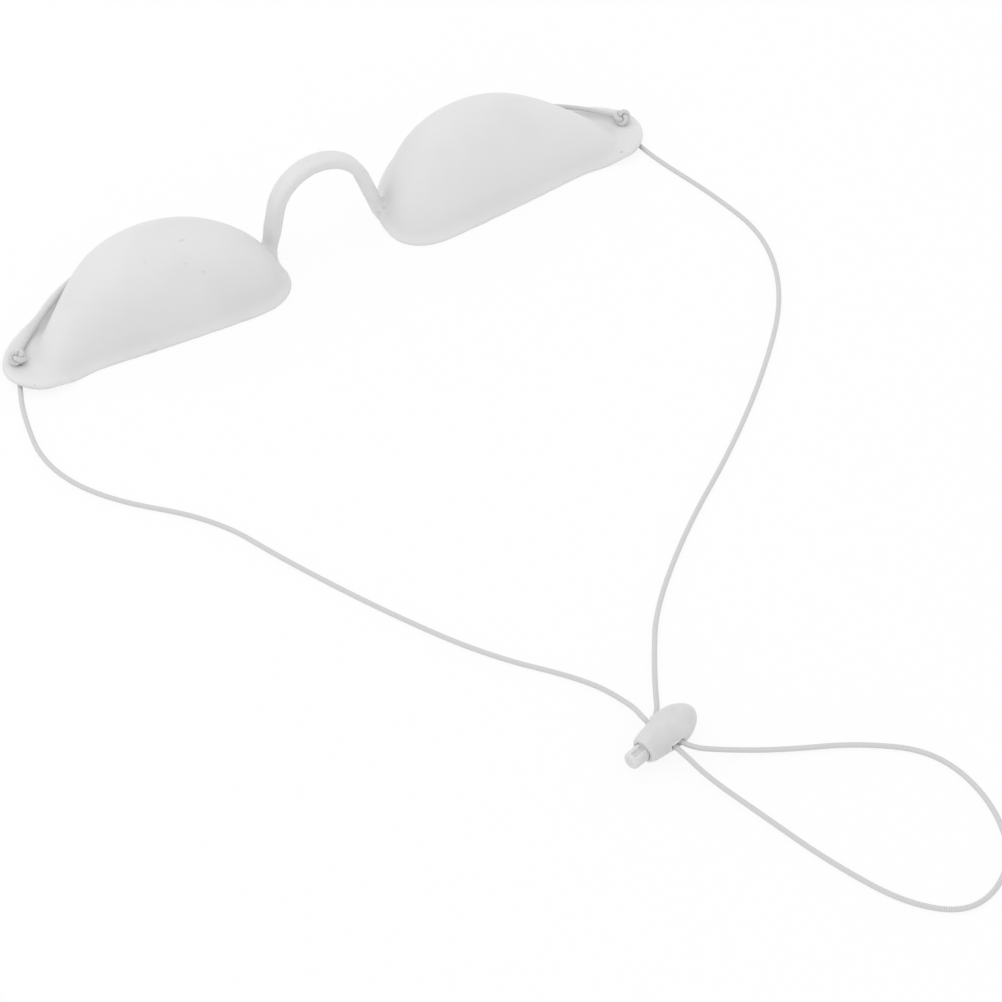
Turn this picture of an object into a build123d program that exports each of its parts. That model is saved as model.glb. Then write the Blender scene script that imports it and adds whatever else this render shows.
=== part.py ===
from build123d import *
import os
from math import cos, sin, tan, radians

# Tanning goggles lying open side down on a table, with their elastic cord laid out in front.
# X runs from the left cup to the right cup, Y towards the brow edge and Z up, in millimetres.
# The origin is on the table, below the middle of the box round the two cups and the strap.

# Cup driving sizes
nose_gap = 24.8
cup_length = 66.0
cup_depth = 32.75
dome_height = 17.0
wall = 1.3
rim_thickness = 1.4
rim_lip = 1.5
rim_rounding = 0.4
foot_rounding = 0.7
crest_share = 0.4
dome_power = 2.2
valley_width = 3.6

# Tab at the outer end of each cup, lifted so that the cord can pass under it
tab_length = 7.4
tab_lift = 1.5
tab_ramp = 7.0
dome_end_gap = 4.9
cord_hole_diameter = 1.7
hole_inset = 3.9
hole_setback = 5.2

# Nose strap
strap_spread = 28.4
strap_width = 4.7
strap_thickness = 2.9
strap_rounding = 1.1
strap_lean = 7.7
strap_leg_lean = 16.7
strap_bend = 11.0
strap_setback = 1.8
strap_split_height = 4.5

# Elastic cord and its knots
cord_diameter = 1.1
knot_width = 3.6
knot_height = 2.5
knot_rounding = 0.6
knot_turn_tilt = 24.0

# Cord lock
barrel_length = 13.9
barrel_diameter = 7.8
barrel_mouth_diameter = 5.2
barrel_mouth_rounding = 0.55
slot_to_mouth = 5.8
slot_length = 3.4
slot_height = 1.7
strand_gap = 0.1
plunger_diameter = 3.5
plunger_projection = 3.7
plunger_channel_depth = 0.5
plunger_channel_width = 1.2
plunger_channel_end = 0.9
plunger_tip_rounding = 0.8
press_travel = 2.0
bore_clearance = 0.1
slot_clearance = 0.05
spring_diameter = 3.1
spring_wire = 0.3
spring_length = 3.7
spring_seat_wall = 2.1
lock_x, lock_y = -7.9, -154.9
lock_turn = 15.3

# Shared by every cut
overrun = 1.0

cord_radius = cord_diameter / 2
nose_end = nose_gap / 2
tab_tip = nose_end + cup_length
crest_x = nose_end + crest_share * cup_length
hole_x = tab_tip - hole_inset
tab_top = tab_lift + rim_thickness
ramp_end = tab_tip - tab_length
ramp_start = ramp_end - tab_ramp
dome_end = tab_tip - dome_end_gap

# The outline, as shares of the cup's length from the nose end and of its depth from the near edge
outline_shares = [
    (0, 0.295), (0.026, 0.524), (0.111, 0.747), (0.238, 0.921), (0.414, 1), (0.589, 0.951),
    (0.751, 0.795), (0.879, 0.594), (0.973, 0.45), (1, 0.31), (0.969, 0.151), (0.905, 0.055),
    (0.78, 0.072), (0.597, 0.061), (0.383, 0.024), (0.2, 0), (0.07, 0.035), (0.012, 0.151),
]

# Stations of the dome beyond its crest, each with the share of the valley that draws its far foot in
station_shares = [(0.18, 0), (0.36, 0.14), (0.54, 0.62), (0.7, 1), (0.85, 1), (1, 1)]
nose_stations = 6


# Plan of a right cup
with BuildSketch() as plan:
    with BuildLine():
        Spline(*[(nose_end + along * cup_length, across * cup_depth) for along, across in outline_shares],
               periodic=True)
    make_face()

# The same plan with its box centred on the X axis
with BuildSketch() as outline:
    with Locations((0, -plan.sketch.bounding_box().center().Y)):
        add(plan.sketch)


# Near and far edges of a face in the XY plane at one X
def chord(face, x):
    box = face.intersect(Edge.make_line((x, -cup_depth), (x, cup_depth)))[0].bounding_box()
    return box.min.Y, box.max.Y


# Domed body with elliptical sections, drawn in from the outline by an inset
def dome(inset, height, reach, end_height):
    with BuildSketch() as foot:
        add(outline.sketch)
        offset(amount=-inset, mode=Mode.REPLACE)
    nose = foot.sketch.bounding_box().min.X
    near, far = chord(foot.sketch.face(), nose + rim_rounding)
    slices = [Vertex(nose, (near + far) / 2, 0)]
    stations = []
    for step in range(1, nose_stations + 1):
        turn = radians(90 * step / nose_stations)
        rise = (1 - cos(turn) ** dome_power) ** (1 / dome_power)
        stations.append((crest_x - (crest_x - nose) * cos(turn), height * rise, 0))
    for along, drawn in station_shares:
        rise = end_height + (height - end_height) * (1 - along ** 2)
        stations.append((crest_x + along * reach, rise, drawn * valley_width))
    for x, rise, drawn in stations:
        near, far = chord(foot.sketch.face(), x)
        half_width = (far - drawn - near) / 2
        section = Plane((x, near + half_width, 0), x_dir=(0, 0, -1), z_dir=(1, 0, 0))
        with BuildSketch(section) as ring:
            Ellipse(rise, half_width)
        slices.append(ring.sketch.face())
    return loft(slices, mode=Mode.PRIVATE)


# Side view of the space over the plate, or of the space under the lifted tab
def ramp_space(level, start_x, closing_level):
    tip = tab_tip + overrun
    with BuildPart() as space:
        with BuildSketch(Plane.XZ.offset(-cup_depth)) as side:
            with BuildLine():
                if start_x < ramp_start:
                    Line((start_x, level), (ramp_start, level))
                Spline((ramp_start, level), (ramp_end, level + tab_lift), tangents=[(1, 0), (1, 0)])
                Polyline((ramp_end, level + tab_lift), (tip, level + tab_lift), (tip, closing_level),
                         (start_x, closing_level), (start_x, level))
            make_face()
        extrude(amount=2 * cup_depth)
    return space.part


# Strap arch on its leaning plane, from below the table line of one leg to that of the other
strap_plane = Plane((0, -strap_setback, 0), x_dir=(1, 0, 0),
                    z_dir=(0, -cos(radians(strap_lean)), sin(radians(strap_lean))))
leg_dx, leg_dy = sin(radians(strap_leg_lean)), cos(radians(strap_leg_lean))
leg_length = (strap_spread / 2 - strap_bend * leg_dy) / leg_dx
with BuildPart() as arch:
    with BuildLine(strap_plane):
        leg = Line((strap_spread / 2 + overrun * leg_dx, -overrun * leg_dy),
                   (strap_spread / 2 - leg_length * leg_dx, leg_length * leg_dy))
        bend = JernArc(leg @ 1, leg % 1, strap_bend, 180 - 2 * strap_leg_lean)
        Line(bend @ 1, (-strap_spread / 2 - overrun * leg_dx, -overrun * leg_dy))
    with BuildSketch(Plane(leg @ 0, x_dir=strap_plane.z_dir, z_dir=leg % 0)):
        RectangleRounded(strap_width, strap_thickness, strap_rounding)
    sweep()
    split(bisect_by=Plane.XY, keep=Keep.TOP)

# Lower ends of the arch, which belong to the cups
with BuildPart() as strap_roots:
    add(arch.part)
    split(bisect_by=Plane.XY.offset(strap_split_height), keep=Keep.BOTTOM)

# Outside of the dome, clear of the space under the tab
with BuildPart() as dome_shell:
    add(dome(rim_lip, dome_height, dome_end - crest_x, rim_thickness / 2))
    split(bisect_by=Plane.XY, keep=Keep.TOP)
    add(ramp_space(0, ramp_start, -overrun), mode=Mode.SUBTRACT)


# Whether the middle of an edge is at the height of the plate's upper face
def on_plate_top(edge):
    middle = edge @ (1 / 2)
    return middle.Z > (tab_top if middle.X > ramp_end else rim_thickness) - rim_rounding


# Right eye cup: rim plate, dome with its cavity, lifted tab and the root of the strap
with BuildPart() as right_cup:
    with BuildSketch():
        add(outline.sketch)
    extrude(amount=tab_top)
    add(ramp_space(rim_thickness, 0, tab_top + overrun), mode=Mode.SUBTRACT)
    add(ramp_space(0, ramp_start, -overrun), mode=Mode.SUBTRACT)
    fillet(right_cup.edges().filter_by(GeomType.BSPLINE), rim_rounding)
    add(dome_shell.part)
    fillet(right_cup.edges(Select.LAST).filter_by(GeomType.BSPLINE).filter_by(on_plate_top), foot_rounding)
    add(strap_roots.solids().sort_by(Axis.X)[-1])
    add(dome(rim_lip + wall, dome_height - wall, dome_end - crest_x - 2 * wall, rim_thickness / 2),
        mode=Mode.SUBTRACT)
    with Locations((hole_x, -hole_setback, 0)):
        Cylinder(cord_hole_diameter / 2, 2 * (tab_top + overrun), mode=Mode.SUBTRACT)

with BuildPart() as left_cup:
    mirror(right_cup.part, about=Plane.YZ)

# The arch between the two roots
with BuildPart() as nose_bridge:
    add(arch.part)
    split(bisect_by=Plane.XY.offset(strap_split_height), keep=Keep.TOP)


# Overhand knot drawn down on the top of a tab
def make_knot(side):
    with BuildPart() as knot:
        with Locations((side * hole_x, -hole_setback, tab_top + knot_height / 2)):
            Cylinder(knot_width / 2 - cord_radius / 2, knot_height)
            fillet(knot.edges(), knot_rounding)
        with Locations(Location((side * hole_x, -hole_setback, tab_top + cord_diameter),
                                (0, side * knot_turn_tilt, 0))):
            Torus(knot_width / 2 - cord_radius, cord_radius)
        split(bisect_by=Plane.XY.offset(tab_top), keep=Keep.TOP)
    return knot.part


# Routes of the cord, chosen by hand along the photographed line
left_tail_route = [
    (-74.2, -4.4, 4.0), (-71.7, -1.8, 3.6), (-66.4, 3.1, 3.0), (-57.6, 10.1, 2.3), (-50.8, 14.2, 2.15),
    (-46.0, 15.5, 2.1),
]
right_tail_route = [
    (74.2, -4.4, 4.0), (71.6, -1.5, 4.1), (66.0, 3.9, 4.1), (57.2, 10.6, 3.2), (50.4, 14.2, 2.2),
    (45.8, 15.5, 2.1),
]
left_route = [
    (-74.5, -5.2, 2.9), (-74.5, -5.2, 0.6), (-76.4, -9.4, 0.6), (-79.2, -17.7, 0.6), (-81.2, -32.2, 0.6),
    (-74.5, -46.7, 0.6), (-57.0, -62.7, 0.6), (-49.5, -79.7, 0.6), (-38.5, -100.7, 0.6), (-26.5, -120.2, 0.6),
    (-13.2, -134.7, 0.6), (-8.3, -144.2, 1.2), (-10.06, -149.27, 3.9), (-8.48, -155.06, 3.9),
]
right_cup_end_route = [
    (74.5, -5.2, 2.9), (74.5, -5.2, 0.6), (74.8, -9.8, 0.6), (76.3, -18.7, 0.6), (81.0, -33.7, 0.6),
    (84.0, -50.7, 0.6), (77.0, -68.2, 0.6), (69.0, -76.45, 0.6),
]
right_lock_end_route = [
    (69.0, -76.45, 0.6), (61.0, -84.7, 0.6), (43.5, -99.2, 0.6), (24.5, -112.2, 0.6), (8.0, -126.7, 0.6),
    (1.4, -137.2, 0.6), (-3.6, -144.9, 1.0), (-8.77, -149.43, 3.9), (-7.32, -154.74, 3.9),
]
loop_route = [
    (-7.32, -154.74, 3.9), (-6.0, -159.57, 3.9), (1.0, -162.6, 1.7), (10.6, -167.3, 0.7), (24.6, -173.4, 0.6),
    (36.0, -182.2, 0.6), (38.6, -196.2, 0.6), (34.0, -209.6, 0.6), (22.0, -215.0, 0.6), (12.0, -207.8, 0.6),
    (4.6, -192.7, 0.6), (-0.9, -176.7, 0.7), (-5.0, -166.2, 1.5), (-7.16, -159.88, 3.9), (-8.48, -155.06, 3.9),
]

# Share of the shorter run that an arc takes on each side of its point
arc_share = 0.45


# Largest arc that the two runs beside each point allow
def arc_radii(route):
    points = [Vector(*point) for point in route]
    radii = []
    for before, corner, after in zip(points, points[1:], points[2:]):
        turn = (corner - before).get_angle(after - corner)
        run = min((corner - before).length, (after - corner).length)
        radii.append(arc_share * run / tan(radians(turn / 2)))
    return radii


# Round cord along a route of straight runs and tangent arcs
def make_cord(name, route):
    radii = arc_radii(route)
    with BuildPart() as cord:
        with BuildLine():
            path = FilletPolyline(*route, radius=radii)
        with BuildSketch(Plane(path @ 0, z_dir=path % 0)) as section:
            Circle(cord_radius)
        sweep()
    ratio = cord.part.volume / (path.length * section.sketch.area)
    print(name, "radii", [round(radius, 1) for radius in radii])
    print(name, "length", round(path.length, 1), "volume over section times length", round(ratio, 4))
    return cord.part


# Cord lock, on the plane through its axis: local X runs to the closed end, local Y to the goggles
barrel_radius = barrel_diameter / 2
lock_plane = Plane((lock_x, lock_y, barrel_radius), x_dir=(cos(radians(lock_turn)), sin(radians(lock_turn)), 0))
lock_side = Plane(lock_plane.origin, x_dir=lock_plane.x_dir, z_dir=lock_plane.y_dir)
lock_section = Plane(lock_plane.origin, x_dir=lock_plane.x_dir, z_dir=-lock_plane.y_dir)
mouth_x = -slot_to_mouth
closed_x = mouth_x + barrel_length
bore_radius = plunger_diameter / 2 + bore_clearance
spring_seat_x = closed_x - spring_seat_wall
plunger_inner_x = spring_seat_x - spring_length
plunger_outer_x = mouth_x - plunger_projection
strands_half = cord_diameter + strand_gap / 2 + slot_clearance
plunger_slot_length = 2 * strands_half + press_travel
shoulder_shares = [(0.26, 0.86), (0.55, 1), (0.83, 0.76)]
mouth_slope = 0.5


# Plane square to the lock's axis
def across_lock(along):
    return Plane(lock_plane.from_local_coords(Vector(along, 0, 0)), z_dir=lock_plane.x_dir)


with BuildPart() as lock_barrel:
    with BuildSketch(lock_section):
        with BuildLine():
            shell = Spline((mouth_x, barrel_mouth_diameter / 2),
                           *[(mouth_x + along * barrel_length, across * barrel_radius)
                             for along, across in shoulder_shares],
                           (closed_x, 0), tangents=[(1, mouth_slope), (0, -1)])
            Polyline(shell @ 1, (mouth_x, 0), shell @ 0)
        make_face()
    revolve(axis=Axis(lock_plane.origin, lock_plane.x_dir))
    fillet(lock_barrel.edges().filter_by(GeomType.CIRCLE).sort_by(Axis(lock_plane.origin, lock_plane.x_dir))[0],
           barrel_mouth_rounding)
    with BuildSketch(across_lock(mouth_x - overrun)):
        Circle(bore_radius)
    extrude(amount=spring_seat_x - mouth_x + overrun, mode=Mode.SUBTRACT)
    with BuildSketch(lock_side):
        SlotOverall(slot_length, slot_height)
    extrude(amount=barrel_diameter, both=True, mode=Mode.SUBTRACT)

with BuildPart() as lock_plunger:
    with BuildSketch(across_lock(plunger_outer_x)):
        Circle(plunger_diameter / 2)
    extrude(amount=plunger_inner_x - plunger_outer_x)
    fillet(lock_plunger.edges().filter_by(GeomType.CIRCLE)
           .sort_by(Axis(lock_plane.origin, lock_plane.x_dir))[0], plunger_tip_rounding)
    with BuildSketch(lock_side):
        with Locations((-press_travel / 2, 0)):
            SlotOverall(plunger_slot_length, slot_height)
    extrude(amount=barrel_diameter, both=True, mode=Mode.SUBTRACT)
    channel_start = plunger_outer_x + plunger_channel_end
    with BuildSketch(lock_plane.offset(plunger_diameter / 2 - plunger_channel_depth)):
        with Locations((channel_start, 0)):
            Rectangle(mouth_x - channel_start, plunger_channel_width, align=(Align.MIN, Align.CENTER))
    extrude(amount=plunger_channel_depth + overrun, mode=Mode.SUBTRACT)

with BuildPart() as lock_spring:
    with BuildSketch(across_lock(plunger_inner_x)):
        Circle(spring_diameter / 2)
        Circle(spring_diameter / 2 - spring_wire, mode=Mode.SUBTRACT)
    extrude(amount=spring_length)

pieces = {
    "right_eye_cup": right_cup.part,
    "left_eye_cup": left_cup.part,
    "nose_bridge": nose_bridge.part,
    "left_knot": make_knot(-1),
    "right_knot": make_knot(1),
    "left_cord_tail": make_cord("left_cord_tail", left_tail_route),
    "right_cord_tail": make_cord("right_cord_tail", right_tail_route),
    "left_cord": make_cord("left_cord", left_route),
    "right_cord_cup_end": make_cord("right_cord_cup_end", right_cup_end_route),
    "right_cord_lock_end": make_cord("right_cord_lock_end", right_lock_end_route),
    "cord_loop": make_cord("cord_loop", loop_route),
    "lock_barrel": lock_barrel.part,
    "lock_plunger": lock_plunger.part,
    "lock_spring": lock_spring.part,
}
os.makedirs("parts", exist_ok=True)
for name, piece in pieces.items():
    piece.label = name
    export_step(piece, "parts/" + name + ".step")
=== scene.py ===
import bpy
import math
from mathutils import Matrix, Vector


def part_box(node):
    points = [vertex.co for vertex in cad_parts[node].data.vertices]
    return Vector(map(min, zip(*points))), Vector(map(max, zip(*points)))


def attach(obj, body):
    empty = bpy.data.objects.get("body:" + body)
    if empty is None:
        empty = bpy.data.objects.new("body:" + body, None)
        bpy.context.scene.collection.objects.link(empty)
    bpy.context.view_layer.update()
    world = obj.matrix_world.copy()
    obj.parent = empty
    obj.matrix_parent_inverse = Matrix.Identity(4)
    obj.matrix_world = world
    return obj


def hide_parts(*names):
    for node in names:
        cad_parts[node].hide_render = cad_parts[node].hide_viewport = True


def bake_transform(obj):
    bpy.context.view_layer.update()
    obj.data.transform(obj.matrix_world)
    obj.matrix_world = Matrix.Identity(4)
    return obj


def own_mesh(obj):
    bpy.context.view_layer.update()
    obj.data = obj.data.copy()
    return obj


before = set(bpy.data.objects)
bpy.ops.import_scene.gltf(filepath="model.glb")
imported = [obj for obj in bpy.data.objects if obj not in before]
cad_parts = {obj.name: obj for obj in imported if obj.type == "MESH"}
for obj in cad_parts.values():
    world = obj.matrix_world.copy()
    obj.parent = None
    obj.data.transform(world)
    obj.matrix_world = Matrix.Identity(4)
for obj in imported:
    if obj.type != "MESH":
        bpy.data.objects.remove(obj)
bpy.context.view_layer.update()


# The camera stands to the left in front of the goggles, well above the table, and looks down at
# 50 degrees with a long lens, as in a product picture.
camera_place = Vector((-0.1903, -0.4103, 0.4445))
camera_aim = Vector((-0.0043, -0.0871, 0))
camera_lens = 102.5
camera_sensor = 36
camera_near = 0.01
camera_data = bpy.data.cameras.new("camera")
camera_data.lens = camera_lens
camera_data.sensor_width = camera_sensor
camera_data.clip_start = camera_near
camera = bpy.data.objects.new("camera", camera_data)
bpy.context.scene.collection.objects.link(camera)
camera.location = camera_place
camera.rotation_euler = (camera_aim - camera_place).to_track_quat("-Z", "Y").to_euler()
bpy.context.scene.camera = camera


# The two eye cups and the strap between them are one soft PVC moulding, white with a satin skin.
# It comes out of one mould, so the strap runs into the rims with no edge.
pvc_white = (0.73, 0.73, 0.73, 1)
pvc_shade = (0.70, 0.70, 0.70, 1)
speck_grey = (0.30, 0.30, 0.30, 1)
pvc_roughness = 0.48
pvc_cloud_scale = 55
pvc_flow_scale = 170
pvc_grain_scale = 2600
pvc_voxel = 0.00042
pvc_softening = 4

# The foot of each dome runs out to the near edge in a soft flare, between these heights and depths, and
# the strap flows into the end of each cup
edge_height = 0.0009
flare_height = 0.0035
flare_end_height = 0.0065
flare_depth = -0.003
flare_end_depth = 0.002
flare_softening = 50
strap_root = (0.0140, -0.0018, 0.0018)
strap_root_size = (0.0020, 0.0034, 0.0015)
strap_root_base = 0.0003
strap_root_reach = 0.0035
strap_root_end_reach = 0.0062

# Marks in the plastic, each with its place, half length, half width and strength: a speck by the edge of
# each tab and at the left nose end, faint ones on the left dome, and a scuff by its near edge
marks = [
    (-0.0743, -0.0129, 0.0027, 0.0004, 0.0003, 0.6), (0.0693, -0.0136, 0.0027, 0.0005, 0.0003, 0.5),
    (-0.0151, -0.0117, 0.0016, 0.0003, 0.0003, 0.55), (-0.0338, -0.0028, 0.0165, 0.001, 0.0003, 0.25),
    (-0.0431, -0.0041, 0.0158, 0.0004, 0.0004, 0.12), (-0.0354, -0.0075, 0.0143, 0.0003, 0.0003, 0.2),
    (-0.0326, -0.0097, 0.0124, 0.0005, 0.0006, 0.15), (-0.0482, -0.0147, 0.0008, 0.002, 0.00024, 0.3),
]


# A shader value that is written into sums and products. make adds any other node, from what its
# sockets take and its settings.
class Value:
    def __init__(self, tree, socket=None):
        self.tree = tree
        self.socket = socket

    def make(self, kind, inputs, output=0, **settings):
        node = self.tree.nodes.new("ShaderNode" + kind)
        for name, setting in settings.items():
            setattr(node, name, setting)
        for name, value in inputs.items():
            if isinstance(value, Value):
                self.tree.links.new(value.socket, node.inputs[name])
            else:
                node.inputs[name].default_value = value
        return Value(self.tree, node.outputs[output])

    def math(self, operation, *values):
        return self.make("Math", dict(enumerate(values)), operation=operation)

    def __add__(self, other):
        return self.math("ADD", self, other)

    def __sub__(self, other):
        return self.math("SUBTRACT", self, other)

    def __mul__(self, other):
        return self.math("MULTIPLY", self, other)

    def __radd__(self, other):
        return self.math("ADD", other, self)

    def __rsub__(self, other):
        return self.math("SUBTRACT", other, self)

    def __rmul__(self, other):
        return self.math("MULTIPLY", other, self)


def noise(place, scale, detail=2.0):
    return place.make("TexNoise", {"Vector": place, "Scale": scale, "Detail": detail})


def smooth_step(value, low, high):
    inputs = {"Value": value, "From Min": low, "From Max": high}
    return value.make("MapRange", inputs, interpolation_type="SMOOTHSTEP")


def mixed(share, low, high):
    return share.make("Mix", {"Factor": share, "A": low, "B": high}, output=2, data_type="RGBA")


# New material with its shader and a place on the piece: output 2 is the UV map, and 3 the object's own
# space
def new_finish(name, coordinates=3):
    finish = bpy.data.materials.new(name)
    finish.use_nodes = True
    tree = finish.node_tree
    place = Value(tree).make("TexCoord", {}, output=coordinates)
    return finish, tree.nodes["Principled BSDF"], place


def set_surface(shader, colour, roughness, height, strength, distance):
    bump = height.make("Bump", {"Height": height, "Strength": strength, "Distance": distance})
    for name, value in (("Base Color", colour), ("Roughness", roughness), ("Normal", bump)):
        value.tree.links.new(value.socket, shader.inputs[name])


def set_depth(shader, weight, scale):
    shader.inputs["Subsurface Weight"].default_value = weight
    shader.inputs["Subsurface Radius"].default_value = (1, 1, 1)
    shader.inputs["Subsurface Scale"].default_value = scale


# One soft moulded skin round copies of CAD nodes and any fills, with their joins and sharp edges eased
def soft_moulding(name, nodes, voxel, softening, fills=()):
    bpy.ops.object.select_all(action="DESELECT")
    for node in nodes:
        copy = bpy.data.objects.new(name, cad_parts[node].data.copy())
        bpy.context.scene.collection.objects.link(copy)
        copy.data.materials.clear()
        copy.select_set(True)
        bpy.context.view_layer.objects.active = copy
    for fill in fills:
        fill.select_set(True)
    if len(nodes) + len(fills) > 1:
        bpy.ops.object.join()
    piece = bpy.context.view_layer.objects.active
    piece.name = name
    bpy.ops.object.mode_set(mode="EDIT")
    bpy.ops.mesh.select_all(action="SELECT")
    bpy.ops.mesh.remove_doubles(threshold=voxel / 100)
    bpy.ops.object.mode_set(mode="OBJECT")
    piece.data.remesh_voxel_size = voxel
    bpy.ops.object.voxel_remesh()
    soften = piece.modifiers.new("soften", "SMOOTH")
    soften.factor = 0.5
    soften.iterations = softening
    bpy.ops.object.modifier_apply(modifier=soften.name)
    bpy.ops.object.shade_smooth()
    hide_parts(*nodes)
    return piece


def fade(value, full, none):
    share = min(max((value - none) / (full - none), 0), 1)
    return share * share * (3 - 2 * share)


root_fills = []
for side in (-1, 1):
    bpy.ops.object.select_all(action="DESELECT")
    root = (side * strap_root[0], strap_root[1], strap_root[2])
    bpy.ops.mesh.primitive_ico_sphere_add(subdivisions=4, radius=1, location=root, scale=strap_root_size)
    bpy.ops.object.transform_apply(location=True, rotation=True, scale=True)
    root_fills.append(bpy.context.active_object)
moulded_nodes = ["left_eye_cup", "nose_bridge", "right_eye_cup"]
goggle_moulding = soft_moulding("goggle_moulding", moulded_nodes, pvc_voxel, pvc_softening, root_fills)
flare = goggle_moulding.vertex_groups.new(name="flare")
for vertex in goggle_moulding.data.vertices:
    x, y, z = vertex.co
    apart = math.dist((abs(x), y, z), strap_root)
    share = fade(apart, strap_root_reach, strap_root_end_reach) if z > strap_root_base else 0
    if z > edge_height:
        share = max(share, fade(z, flare_height, flare_end_height) * fade(y, flare_depth, flare_end_depth))
    if vertex.normal.z > -0.3 and share > 0:
        flare.add([vertex.index], share, "REPLACE")
soften = goggle_moulding.modifiers.new("flare", "SMOOTH")
soften.vertex_group = "flare"
soften.factor = 0.5
soften.iterations = flare_softening
bpy.context.view_layer.objects.active = goggle_moulding
bpy.ops.object.modifier_apply(modifier=soften.name)
soft_pvc, shader, place = new_finish("soft_white_pvc")
cloud = noise(place, pvc_cloud_scale, 3)
flow = noise(place, pvc_flow_scale)
grain = noise(place, pvc_grain_scale)
dirt = None
for x, y, z, half_length, half_width, strength in marks:
    away = place.make("VectorMath", {0: place, 1: (x, y, z)}, operation="SUBTRACT")
    away = place.make("VectorMath", {0: away, 1: (half_length, half_width, half_width)}, operation="DIVIDE")
    away = place.make("VectorMath", {0: away}, output=1, operation="LENGTH")
    speck = (1 - smooth_step(away + (flow - 0.5), 0.4, 1)) * strength
    dirt = speck if dirt is None else dirt.math("MAXIMUM", dirt, speck)
colour = mixed(dirt, mixed(smooth_step(cloud, 0.3, 0.7), pvc_shade, pvc_white), speck_grey)
roughness = (flow - 0.5) * 0.16 + dirt * 0.2 + pvc_roughness
set_surface(shader, colour, roughness, cloud + flow * 0.5 + grain * 0.12, strength=0.25, distance=0.0002)
set_depth(shader, weight=0.3, scale=0.0015)
goggle_moulding.data.materials.append(soft_pvc)
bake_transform(goggle_moulding)


# The head cord is a 1.1 mm round elastic: a rubber core in a close knitted cover, whose courses show
# as fine slanting ribs. In use it is one cord, and it lies here as four lengths that meet end to end.
cord_diameter = 0.0011
rib_pitch = 0.00042
rib_height = 0.000014
ring_step = 0.000105
ring_sides = 12
route_resolution = 24
cord_white = (0.67, 0.67, 0.67, 1)
# Painted shade for the grooves between the ribs of the cover
painted_groove_shade = (0.54, 0.54, 0.54, 1)
cord_roughness = 0.72
cover_fuzz_scale = 9

left_route = [
    (-0.0745, -0.0052, 0.0029), (-0.0745, -0.0052, 0.0006), (-0.0764, -0.0094, 0.0006),
    (-0.0792, -0.0177, 0.0006), (-0.0812, -0.0322, 0.0006), (-0.0745, -0.0467, 0.0006),
    (-0.0570, -0.0627, 0.0006), (-0.0495, -0.0797, 0.0006), (-0.0385, -0.1007, 0.0006),
    (-0.0265, -0.1202, 0.0006), (-0.0126, -0.1349, 0.0006), (-0.0084, -0.1446, 0.0010),
    (-0.0094, -0.1499, 0.0039), (-0.00848, -0.15506, 0.0039),
]
right_cup_end_route = [
    (0.0745, -0.0052, 0.0029), (0.0745, -0.0052, 0.0006), (0.0748, -0.0098, 0.0006),
    (0.0763, -0.0187, 0.0006), (0.0810, -0.0337, 0.0006), (0.0840, -0.0507, 0.0006),
    (0.0770, -0.0682, 0.0006), (0.0690, -0.07645, 0.0006),
]
right_lock_end_route = [
    (0.0690, -0.07645, 0.0006), (0.0610, -0.0847, 0.0006), (0.0435, -0.0992, 0.0006),
    (0.0245, -0.1122, 0.0006), (0.0080, -0.1267, 0.0006), (0.0009, -0.1376, 0.0006),
    (-0.0027, -0.1439, 0.0006), (-0.0044, -0.1473, 0.0006), (-0.0063, -0.1494, 0.0010),
    (-0.0082, -0.1508, 0.0039), (-0.00732, -0.15474, 0.0039),
]
loop_route = [
    (-0.00732, -0.15474, 0.0039), (-0.0060, -0.15957, 0.0039), (0.0010, -0.1626, 0.0017),
    (0.0106, -0.1673, 0.0007), (0.0246, -0.1734, 0.0006), (0.0360, -0.1822, 0.0006),
    (0.0386, -0.1962, 0.0006), (0.0340, -0.2096, 0.0006), (0.0220, -0.2150, 0.0006),
    (0.0120, -0.2078, 0.0006), (0.0046, -0.1927, 0.0006), (-0.0009, -0.1767, 0.0007),
    (-0.0050, -0.1662, 0.0015), (-0.00716, -0.15988, 0.0039), (-0.00848, -0.15506, 0.0039),
]

knitted_elastic, shader, place = new_finish("knitted_elastic", coordinates=2)
around = place.make("SeparateXYZ", {"Vector": place}, output=0)
along = place.make("SeparateXYZ", {"Vector": place}, output=1)
course = along.math("SINE", (along + around * 0.5) * math.tau) * 0.5 + 0.5
wale = along.math("SINE", (along - around * 3) * math.tau) * 0.5 + 0.5
fuzz = noise(place, cover_fuzz_scale)
knit = course * 0.65 + wale * 0.35
# The darker colour falls in the grooves between the ribs, where the knit height is lowest, as painted shade;
# the fuzz noise adds random tone.
colour = mixed(smooth_step(knit * 0.8 + (fuzz - 0.5) * 0.5, 0, 0.7), painted_groove_shade, cord_white)
set_surface(shader, colour, (fuzz - 0.5) * 0.2 + cord_roughness, knit + fuzz * 0.4, strength=0.45,
            distance=0.00005)
shader.inputs["Sheen Weight"].default_value = 0.2


# Points of the smooth line that a cord takes along its route
def centreline(route):
    curve = bpy.data.curves.new("route", "CURVE")
    curve.dimensions = "3D"
    curve.resolution_u = route_resolution
    spline = curve.splines.new("NURBS")
    spline.points.add(len(route) - 1)
    for point, corner in zip(spline.points, route):
        point.co = (*corner, 1)
    spline.order_u = 3
    spline.use_endpoint_u = True
    holder = bpy.data.objects.new("route", curve)
    bpy.context.scene.collection.objects.link(holder)
    line = [vertex.co.copy() for vertex in bpy.data.meshes.new_from_object(holder).vertices]
    bpy.data.objects.remove(holder)
    return line


def even_steps(line, step):
    reached = [0]
    for before, after in zip(line, line[1:]):
        reached.append(reached[-1] + (after - before).length)
    count = round(reached[-1] / step)
    points = []
    index = 0
    for number in range(count + 1):
        target = reached[-1] * number / count
        while index < len(line) - 2 and reached[index + 1] < target:
            index += 1
        share = (target - reached[index]) / (reached[index + 1] - reached[index])
        points.append(line[index].lerp(line[index + 1], share))
    return points, reached[-1]


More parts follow.
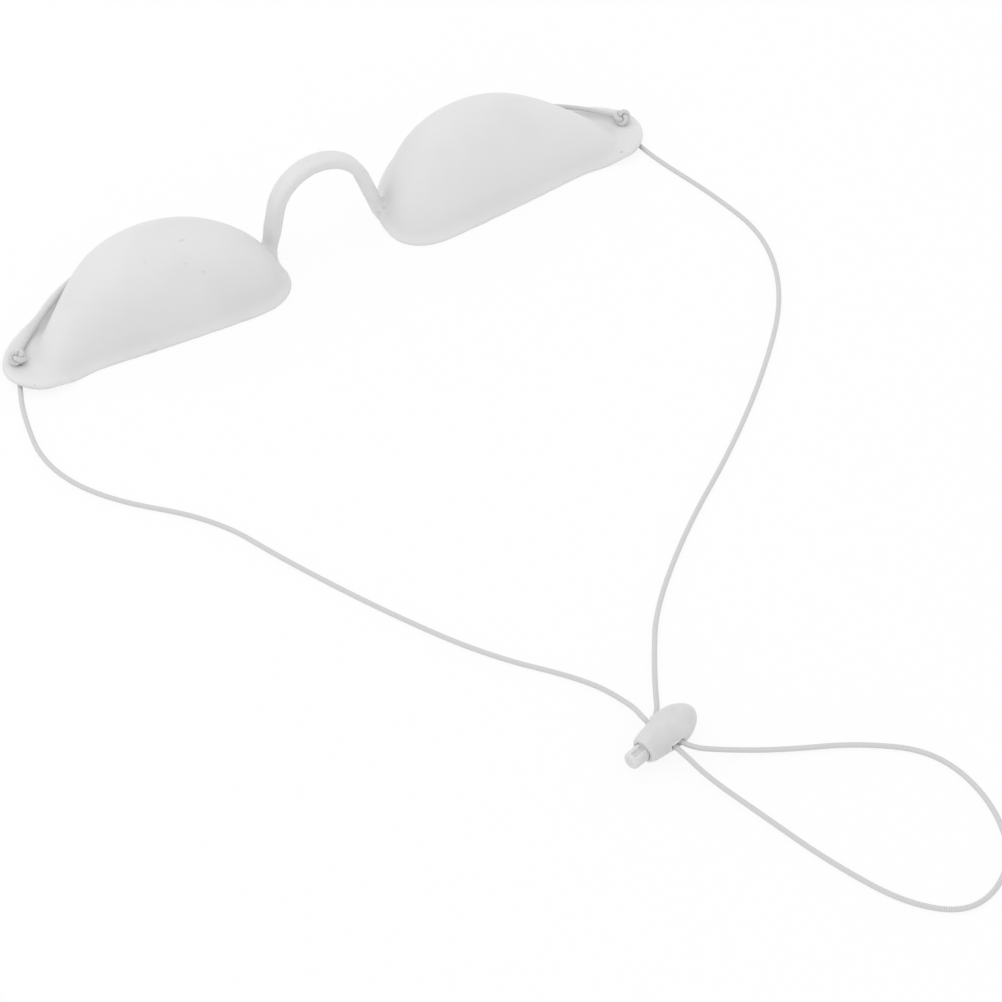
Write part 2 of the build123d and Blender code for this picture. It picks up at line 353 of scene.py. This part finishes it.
# Closed tube along a line, its surface waved by the ribs of the cover, with a UV map that counts them
def make_tube(name, line, diameter, finish, rib=rib_height):
    points, length = even_steps(line, ring_step)
    last = len(points) - 1
    side = (points[1] - points[0]).orthogonal().normalized()
    vertices = []
    for index, middle in enumerate(points):
        ahead = (points[min(index + 1, last)] - points[max(index - 1, 0)]).normalized()
        side = (side - ahead * side.dot(ahead)).normalized()
        across = ahead.cross(side)
        ribs = length * index / last / rib_pitch
        for corner in range(ring_sides):
            turn = math.tau * corner / ring_sides
            reach = diameter / 2 - rib + rib * math.sin(math.tau * ribs + turn / 2)
            vertices.append(middle + (side * math.cos(turn) + across * math.sin(turn)) * reach)
    faces = []
    places = []
    for index in range(last):
        low = length * index / last / rib_pitch
        high = length * (index + 1) / last / rib_pitch
        for corner in range(ring_sides):
            start = index * ring_sides
            after = (corner + 1) % ring_sides
            above = start + ring_sides
            faces.append((start + corner, start + after, above + after, above + corner))
            left = corner / ring_sides
            right = (corner + 1) / ring_sides
            places += [(left, low), (right, low), (right, high), (left, high)]
    for ring in (range(ring_sides - 1, -1, -1), range(last * ring_sides, (last + 1) * ring_sides)):
        faces.append(tuple(ring))
        places += [(0, 0)] * ring_sides
    mesh = bpy.data.meshes.new(name)
    mesh.from_pydata(vertices, [], faces)
    layer = mesh.uv_layers.new(name="cover")
    for corner, spot in zip(layer.data, places):
        corner.uv = spot
    mesh.polygons.foreach_set("use_smooth", [True] * len(faces))
    mesh.materials.append(finish)
    tube = bpy.data.objects.new(name, mesh)
    bpy.context.scene.collection.objects.link(tube)
    return tube, points, length


def make_cord(node, route):
    cord, points, length = make_tube(node + "_elastic", centreline(route), cord_diameter, knitted_elastic)
    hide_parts(node)
    return cord


lock_place = Vector((-0.0079, -0.1549, 0.0039))
lock_turn = math.radians(15.3)
lock_along = Vector((math.cos(lock_turn), math.sin(lock_turn), 0))
left_cord = make_cord("left_cord", left_route)
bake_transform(left_cord)
right_lock_end = make_cord("right_cord_lock_end", right_lock_end_route)
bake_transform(right_lock_end)
cord_loop = make_cord("cord_loop", loop_route)
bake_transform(cord_loop)
right_cup_end = make_cord("right_cord_cup_end", right_cup_end_route)
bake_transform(right_cup_end)


# The free ends of the elastic stick out of the two knots, cut square, and lie along the valleys
# beside the domes.
left_tail_route = [
    (-0.0742, -0.0044, 0.0040), (-0.0717, -0.0018, 0.0036), (-0.0664, 0.0031, 0.0030),
    (-0.0576, 0.0101, 0.0023), (-0.0508, 0.0142, 0.00215), (-0.0460, 0.0155, 0.0021),
]
right_tail_route = [
    (0.0742, -0.0044, 0.0040), (0.0716, -0.0015, 0.0041), (0.0660, 0.0039, 0.0041),
    (0.0572, 0.0106, 0.0032), (0.0504, 0.0142, 0.0022), (0.0458, 0.0155, 0.0021),
]
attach(make_cord("left_cord_tail", left_tail_route), "goggles")
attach(make_cord("right_cord_tail", right_tail_route), "right_cup")


# An overhand knot on top of each tab keeps the elastic from pulling back through its hole. Its turns
# are drawn down until they press into each other. The right one leans back on its tab.
knot_reach = 0.00103
knot_weave = 0.00046
knot_rise = 0.0006
knot_points = 96
knot_lean_axis = (0.87, -0.5, 0)
right_knot_lean = math.radians(35)
knots = [("left_knot", "goggles", -1, 0), ("right_knot", "right_cup", 1, right_knot_lean)]
for node, body, side, lean in knots:
    low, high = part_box(node)
    middle = (low + high) / 2
    turns = []
    for step in range(knot_points + 1):
        turn = math.tau * step / knot_points
        reach = knot_reach + knot_weave * math.cos(3 * turn)
        round_x = side * reach * math.cos(2 * turn)
        round_y = reach * math.sin(2 * turn)
        offset = Vector((round_x, round_y, knot_rise * math.sin(3 * turn)))
        turns.append(middle + Matrix.Rotation(lean, 3, knot_lean_axis) @ offset)
    knot, points, length = make_tube(node + "_turns", turns, cord_diameter, knitted_elastic)
    for vertex in knot.data.vertices:
        vertex.co.z = max(vertex.co.z, low.z)
    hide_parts(node)
    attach(knot, body)


# The cord lock is moulded in white plastic: an egg-shaped barrel with a slot through it for the two
# strands, and a plunger that a spring pushes out until its own slot nips them.
lock_white = (0.67, 0.67, 0.67, 1)
lock_shade = (0.63, 0.63, 0.63, 1)
lock_roughness = 0.4
lock_cloud_scale = 300
lock_grain_scale = 4200
lock_voxel = 0.00013
lock_softening = 8

# Fills that are smoothed into the barrel: a lip that closes its mouth round the plunger, and swellings at
# both ends and along the top of the near slot, which draw it close round the strands. Each swelling has
# its way along the barrel, out to the near side and up, and its size.
lip_along = -0.0054
lip_radius = 0.00206
lip_thickness = 0.00032
slot_swellings = [
    (-0.00172, 0.0028, 0, (0.0005, 0.0009, 0.0009)), (0.00172, 0.0028, 0, (0.0005, 0.0009, 0.0009)),
    (0, 0.0030, 0.00100, (0.0020, 0.0008, 0.0004)),
]
lock_plastic, shader, place = new_finish("lock_plastic")
cloud = noise(place, lock_cloud_scale, 3)
grain = noise(place, lock_grain_scale)
colour = mixed(smooth_step(cloud, 0.3, 0.7), lock_shade, lock_white)
set_surface(shader, colour, (cloud - 0.5) * 0.15 + lock_roughness, cloud * 0.6 + grain * 0.15, strength=0.3,
            distance=0.0001)
set_depth(shader, weight=0.6, scale=0.002)
lock_near = Vector((math.sin(lock_turn), -math.cos(lock_turn), 0))
barrel_fills = []
bpy.ops.object.select_all(action="DESELECT")
bpy.ops.mesh.primitive_torus_add(major_segments=96, minor_segments=24, major_radius=lip_radius,
                                 minor_radius=lip_thickness, location=lock_place + lock_along * lip_along,
                                 rotation=(0, math.pi / 2, lock_turn))
bpy.ops.object.transform_apply(location=True, rotation=True, scale=True)
barrel_fills.append(bpy.context.active_object)
for along, near, up, size in slot_swellings:
    bpy.ops.object.select_all(action="DESELECT")
    bpy.ops.mesh.primitive_ico_sphere_add(subdivisions=4, radius=1, scale=size, rotation=(0, 0, lock_turn),
                                          location=lock_place + lock_along * along + lock_near * near
                                          + Vector((0, 0, up)))
    bpy.ops.object.transform_apply(location=True, rotation=True, scale=True)
    barrel_fills.append(bpy.context.active_object)
for node, body, fills in (("lock_barrel", "cord_lock", barrel_fills), ("lock_plunger", "plunger", [])):
    piece = soft_moulding(node + "_moulding", [node], lock_voxel, lock_softening, fills)
    piece.data.materials.append(lock_plastic)
    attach(piece, body)


# The spring is wound from drawn steel wire, and stands in the bore between the plunger and the closed
# end of the barrel.
spring_wire = 0.0003
spring_diameter = 0.0031
spring_turns = 5.5
spring_near = 0.0023
spring_far = 0.0060
spring_points = 132
spring_dark = (0.45, 0.45, 0.46, 1)
spring_bright = (0.62, 0.62, 0.64, 1)
spring_brush_scale = 3000
across = Vector((0, 0, 1))
sideways = lock_along.cross(across)
bore_start = lock_place + lock_along * (spring_near + spring_wire / 2)
bore_end = lock_place + lock_along * (spring_far - spring_wire / 2)
coil = []
for step in range(spring_points + 1):
    turn = math.tau * spring_turns * step / spring_points
    swing = across * math.cos(turn) + sideways * math.sin(turn)
    coil.append(bore_start.lerp(bore_end, step / spring_points) + swing * (spring_diameter - spring_wire) / 2)
drawn_steel, shader, place = new_finish("drawn_steel")
brushed = noise(place, spring_brush_scale)
colour = mixed(brushed, spring_dark, spring_bright)
set_surface(shader, colour, brushed * 0.2 + 0.25, brushed, strength=0.1, distance=0.00002)
shader.inputs["Metallic"].default_value = 1
spring, points, length = make_tube("lock_spring_coil", coil, spring_wire, drawn_steel, rib=0)
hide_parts("lock_spring")
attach(spring, "cord_lock")
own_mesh(spring)


# The goggles lie on a plain white table under an even white studio, with one weak softbox above and
# behind the left cup that draws a little shade down the near sides.
table_size = 6
table_white = 0.9
table_glow = 0.88
softbox_place = Vector((-0.45, 0.35, 0.9))
softbox_power = 1.2
softbox_width = 0.9
softbox_depth = 0.6
studio_strength = 1.0
bpy.ops.object.select_all(action="DESELECT")
bpy.ops.mesh.primitive_plane_add(size=table_size)
table = bpy.context.active_object
table.name = "table"
table_finish = bpy.data.materials.new("white_table")
table_finish.use_nodes = True
tree = table_finish.node_tree
shader = tree.nodes["Principled BSDF"]
shader.inputs["Base Color"].default_value = (table_white, table_white, table_white, 1)
shader.inputs["Roughness"].default_value = 0.8
rays = [Value(tree).make("LightPath", {}, output=output) for output in (0, 3, 6)]
seen = rays[0].math("MAXIMUM", rays[0], rays[0].math("MAXIMUM", rays[1], rays[2]))
glow = seen.make("Emission", {"Strength": 1.0})
white = seen.make("MixShader", {0: seen * table_glow, 1: Value(tree, shader.outputs[0]), 2: glow})
tree.links.new(white.socket, tree.nodes["Material Output"].inputs["Surface"])
table.data.materials.append(table_finish)

studio = bpy.data.worlds.new("studio")
bpy.context.scene.world = studio
studio.use_nodes = True
studio.node_tree.nodes["Background"].inputs["Color"].default_value = (1, 1, 1, 1)
studio.node_tree.nodes["Background"].inputs["Strength"].default_value = studio_strength

softbox_data = bpy.data.lights.new("softbox", "AREA")
softbox_data.shape = "RECTANGLE"
softbox_data.size = softbox_width
softbox_data.size_y = softbox_depth
softbox_data.energy = softbox_power
softbox = bpy.data.objects.new("softbox", softbox_data)
bpy.context.scene.collection.objects.link(softbox)
softbox.location = softbox_place
softbox.rotation_euler = (-softbox_place).to_track_quat("-Z", "Y").to_euler()

bpy.context.scene.view_settings.view_transform = "Standard"
